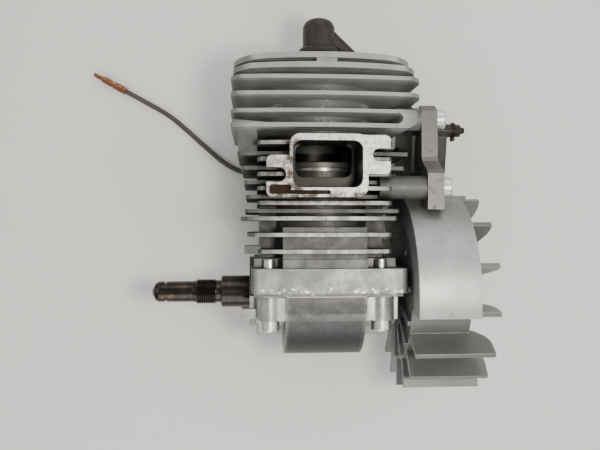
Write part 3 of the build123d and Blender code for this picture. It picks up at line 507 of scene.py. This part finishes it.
def steel_finish(name, color, roughness=0.3, grain=0.15):
    """Plated or ground steel: even colour, with fine scratches, a few darker, rougher patches, and painted
    shade in its corners.
    """
    look = Finish(name, metallic=1.0, roughness=roughness)
    look.rounded(0.3)
    dimmed = look.ramp(look.noise(2.5, 4.0, 0.6), 0.4, 0.7)
    base = look.mix(dimmed, color, tuple(value * 0.88 for value in color))
    # Painted shade in the corners
    base = look.mix(look.corner_shade(1.0, 0.5, low=0.6, high=1.0), base, STEEL_CORNER_SHADE)
    look.relief(look.noise(0.3, 2.0, 0.6, shift=2.0), 0.01, grain)
    return look.finish(base, look.blend(dimmed, roughness * 0.9, roughness * 1.15))


def shaft_finish():
    """Dark oxide on a turned shaft, with faint turning lines and brown worn bands."""
    look = Finish("shaft_black_oxide", metallic=0.9, roughness=0.3)
    lines = look.noise(0.5, 2.0, 0.5, where=look.stretched(1.0, 0.02, 0.02))
    base = look.mix(look.ramp(lines, 0.35, 0.7), (0.028, 0.024, 0.022), (0.055, 0.046, 0.040))
    rust = look.ramp(look.noise(4.0, 4.0, 0.6, shift=3.0), 0.48, 0.62, 0.0, 0.6)
    rust = look.times(rust, look.blend(look.band("X", *PILOT_X, 0.4), 0.06, 1.0))
    base = look.mix(rust, base, SHAFT_RUST)
    base = look.bright_edges(base, 0.25, 0.45, (0.16, 0.14, 0.12))
    look.relief(lines, 0.008, 0.3)
    return look.finish(base, look.blend(look.noise(3.0, 4.0, 0.6, shift=5.0), 0.18, 0.32))


def lamination_finish():
    """Stacked steel sheets: fine lines along the stack's thickness, with rusty patches."""
    look = Finish("core_laminations", metallic=0.55, roughness=0.5)
    wave = look.add("ShaderNodeTexWave", wave_type="BANDS", bands_direction="X", wave_profile="SAW")
    look.put(wave.inputs["Vector"], look.place)
    wave.inputs["Scale"].default_value = 1 / (WAVES_PER_UNIT * LAMINATION * MM)
    wave.inputs["Distortion"].default_value = 0.0
    lines = wave.outputs["Fac"]
    base = look.mix(look.noise(5.0, 5.0, 0.65), grey(0.095, 0.03), grey(0.165, 0.03))
    base = look.mix(look.ramp(lines, 0.75, 1.0, 0.0, 0.35), base, CORE_LINE)
    rust = look.ramp(look.noise(3.5, 5.0, 0.7, shift=4.0), 0.56, 0.70, 0.0, 0.6)
    base = look.mix(rust, base, CORE_RUST)
    base = look.bright_edges(base, 0.35, 0.5, grey(0.34, 0.03))
    look.relief(lines, 0.06, 0.4)
    look.relief(look.noise(0.5, 3.0, 0.7), 0.03, 0.5)
    return look.finish(base, look.blend(rust, 0.45, 0.7))


def rubber_finish(name, color, roughness, dust):
    """Rubber or resin, with pale dust in patches and on the edges."""
    look = Finish(name, roughness=roughness, specular=0.4)
    look.rounded(0.3)
    cloud = look.noise(6.0, 5.0, 0.65)
    pale = tuple(min(1.0, value * 2.2 + 0.02) for value in color)
    base = look.mix(look.ramp(cloud, 0.45, 0.75, 0.0, dust), color, pale)
    base = look.bright_edges(base, 0.5, 0.35, pale)
    look.relief(look.noise(0.5, 3.0, 0.6), 0.04, 0.5)
    return look.finish(base, look.blend(cloud, roughness * 0.85, roughness * 1.25))


def copper_finish():
    look = Finish("tarnished_copper", metallic=0.9, roughness=0.38)
    look.rounded(0.2)
    patina = look.ramp(look.noise(1.6, 4.0, 0.65), 0.42, 0.66)
    base = look.mix(patina, (0.34, 0.150, 0.080), (0.10, 0.048, 0.030))
    look.relief(look.noise(0.4, 3.0, 0.6), 0.03, 0.6)
    return look.finish(base, look.blend(patina, 0.30, 0.5))


def ceramic_finish():
    look = Finish("glazed_ceramic", roughness=0.15)
    soot = look.ramp(look.noise(2.0, 4.0, 0.6), 0.5, 0.75, 0.0, 0.4)
    return look.finish(look.mix(soot, (0.80, 0.79, 0.74), (0.40, 0.30, 0.20)), look.blend(soot, 0.12, 0.4))


def piston_finish():
    """Machined alloy with brown varnish on the skirt and carbon on the crown."""
    look = Finish("piston_alloy", metallic=0.8, roughness=0.35)
    turned = look.noise(0.35, 2.0, 0.5, where=look.stretched(0.02, 1.0, 0.02))
    base = look.mix(turned, grey(0.30, 0.03), grey(0.42, 0.03))
    varnish = look.ramp(look.noise(7.0, 4.0, 0.6), 0.30, 0.60, 0.74, 0.92)
    base = look.mix(varnish, base, VARNISH)
    base = look.mix(look.band("Y", *CROWN_Y, 0.2), base, CARBON)
    look.relief(turned, 0.015, 0.4)
    return look.finish(base, look.blend(varnish, 0.32, 0.48))


def paper_finish():
    look = Finish("gasket_paper", roughness=0.85)
    return look.finish(look.mix(look.noise(1.0), (0.50, 0.48, 0.42), (0.66, 0.63, 0.56)))


RUBBERS = {  # by node: the material's name, colour, roughness and dust
    "ignition_coil": ("coil_resin", (0.010, 0.010, 0.010), 0.38, 0.2),
    "plug_boot": ("boot_rubber", (0.017, 0.013, 0.009), 0.45, 0.3),
    "ignition_lead": ("lead_rubber", (0.014, 0.013, 0.012), 0.35, 0.15),
    "oil_seals": ("seal_rubber", (0.012, 0.012, 0.012), 0.45, 0.15),
}
STEELS = {  # by the material's name, colour, roughness and grain: the nodes that share it
    ("zinc_plated", (0.74, 0.75, 0.74), 0.36, 0.05): (
        "crankcase_screws", "ignition_screws", "flywheel_nut", "flywheel_washer", "pawl_1",
        "pawl_2", "pawl_screws", "spark_plug_shell",
    ),
    ("ground_steel", (0.55, 0.54, 0.52), 0.22): (
        "main_bearing_outer_races", "main_bearing_inner_races", "main_bearing_balls", "crank_pin",
        "big_end_bearing", "small_end_bearing", "wrist_pin", "flywheel_key", "piston_ring",
        "spark_plug_electrode",
    ),
    ("oiled_steel", (0.20, 0.19, 0.18), 0.35): (
        "wrist_pin_clips", "pawl_springs", "plug_boot_clip", "connecting_rod",
    ),
    ("sintered_magnet", (0.10, 0.10, 0.105), 0.5, 0.8): ("flywheel_magnet",),
    ("browned_steel", (0.042, 0.034, 0.028), 0.4): ("ignition_coil_terminal",),
}


def make_finishes():
    """The finish of every CAD node that has one, by the node's name."""
    shaft, core, copper = shaft_finish(), lamination_finish(), copper_finish()
    finishes = {
        "cylinder": cylinder_finish(),
        "crankcase_upper_half": plate_finish(),
        "crankcase_cap": cap_finish(),
        "flywheel": flywheel_finish(),
        "piston": piston_finish(),
        "crankcase_gasket": paper_finish(),
        "spark_plug_insulator": ceramic_finish(),
        "crank_half_clutch_side": shaft,
        "crank_half_flywheel_side": shaft,
        "ignition_core": core,
        "flywheel_pole_shoes": core,
        "kill_wire_pin": copper,
        "spark_plug_washer": copper,
    }
    for node, settings in RUBBERS.items():
        finishes[node] = rubber_finish(*settings)
    for settings, nodes in STEELS.items():
        finishes.update(dict.fromkeys(nodes, steel_finish(*settings)))
    return finishes


def dress_nodes():
    """Gives the CAD nodes their finishes."""
    finishes = make_finishes()
    for node, piece in frame["nodes"].items():
        if node in finishes:
            piece.data.materials.clear()
            piece.data.materials.append(finishes[node])


# ---------------------------------------------------------------- pieces


def make_wire():
    """The kill wire, from the coil, under the cylinder and out along the table."""
    line = bpy.data.curves.new("kill_wire_line", "CURVE")
    line.dimensions = "3D"
    line.bevel_depth = WIRE_R * MM
    line.bevel_resolution = 5
    line.resolution_u = 10
    line.use_fill_caps = True
    spline = line.splines.new("NURBS")
    spline.points.add(len(WIRE_ROUTE) - 1)
    for point, place in zip(spline.points, WIRE_ROUTE):
        point.co = (*at(*place), 1.0)
    spline.order_u = 3
    spline.use_endpoint_u = True
    wire = bpy.data.objects.new("kill_wire_sleeve", line)
    bpy.context.scene.collection.objects.link(wire)
    line.materials.append(rubber_finish("wire_sleeve", WIRE_COLOR, 0.5, 0.25))
    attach(wire, "engine")
    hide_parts("kill_wire")


# ---------------------------------------------------------------- stage, lights and camera


def aim(thing, target):
    """Points a light or camera from where it stands at a place."""
    direction = Vector(target) - thing.location
    thing.rotation_euler = direction.to_track_quat("-Z", "Y").to_euler()


def make_floor():
    mesh = bpy.data.meshes.new("floor")
    corners = [(x * FLOOR_HALF, y * FLOOR_HALF, 0) for x, y in ((-1, -1), (1, -1), (1, 1), (-1, 1))]
    mesh.from_pydata(corners, [], [(0, 1, 2, 3)])
    floor = bpy.data.objects.new("floor", mesh)
    bpy.context.scene.collection.objects.link(floor)
    look = Finish("floor_paper", roughness=0.8, specular=0.2)
    paper = look.mix(look.noise(40.0, 2.0), (0.72, 0.71, 0.69), (0.75, 0.74, 0.72))
    mesh.materials.append(look.finish(paper))


def area_light(name, place, target, size, power, color):
    data = bpy.data.lights.new(name, "AREA")
    data.shape = "DISK"
    data.size = size
    data.energy = power
    data.color = color
    light = bpy.data.objects.new(name, data)
    light.location = place
    bpy.context.scene.collection.objects.link(light)
    aim(light, target)


def make_lights():
    for name, place, size, power, color in LIGHTS:
        area_light(name, at(*place), at(*LIGHT_TARGET), size, power, color)
    world = bpy.data.worlds.new("studio")
    world.use_nodes = True
    background = world.node_tree.nodes["Background"]
    background.inputs["Color"].default_value = WORLD_COLOR
    background.inputs["Strength"].default_value = WORLD_STRENGTH
    bpy.context.scene.world = world


def make_camera():
    data = bpy.data.cameras.new("camera")
    data.lens = CAMERA_LENS
    data.sensor_width = 36.0
    data.clip_start = 0.01
    camera = bpy.data.objects.new("camera", data)
    yaw = Matrix.Rotation(radians(-CAMERA_YAW), 4, "Y")
    camera.matrix_world = Matrix.Translation(at(*CAMERA_AT)) @ yaw
    bpy.context.scene.collection.objects.link(camera)
    bpy.context.scene.camera = camera


dress_nodes()
make_wire()
make_floor()
make_lights()
make_camera()
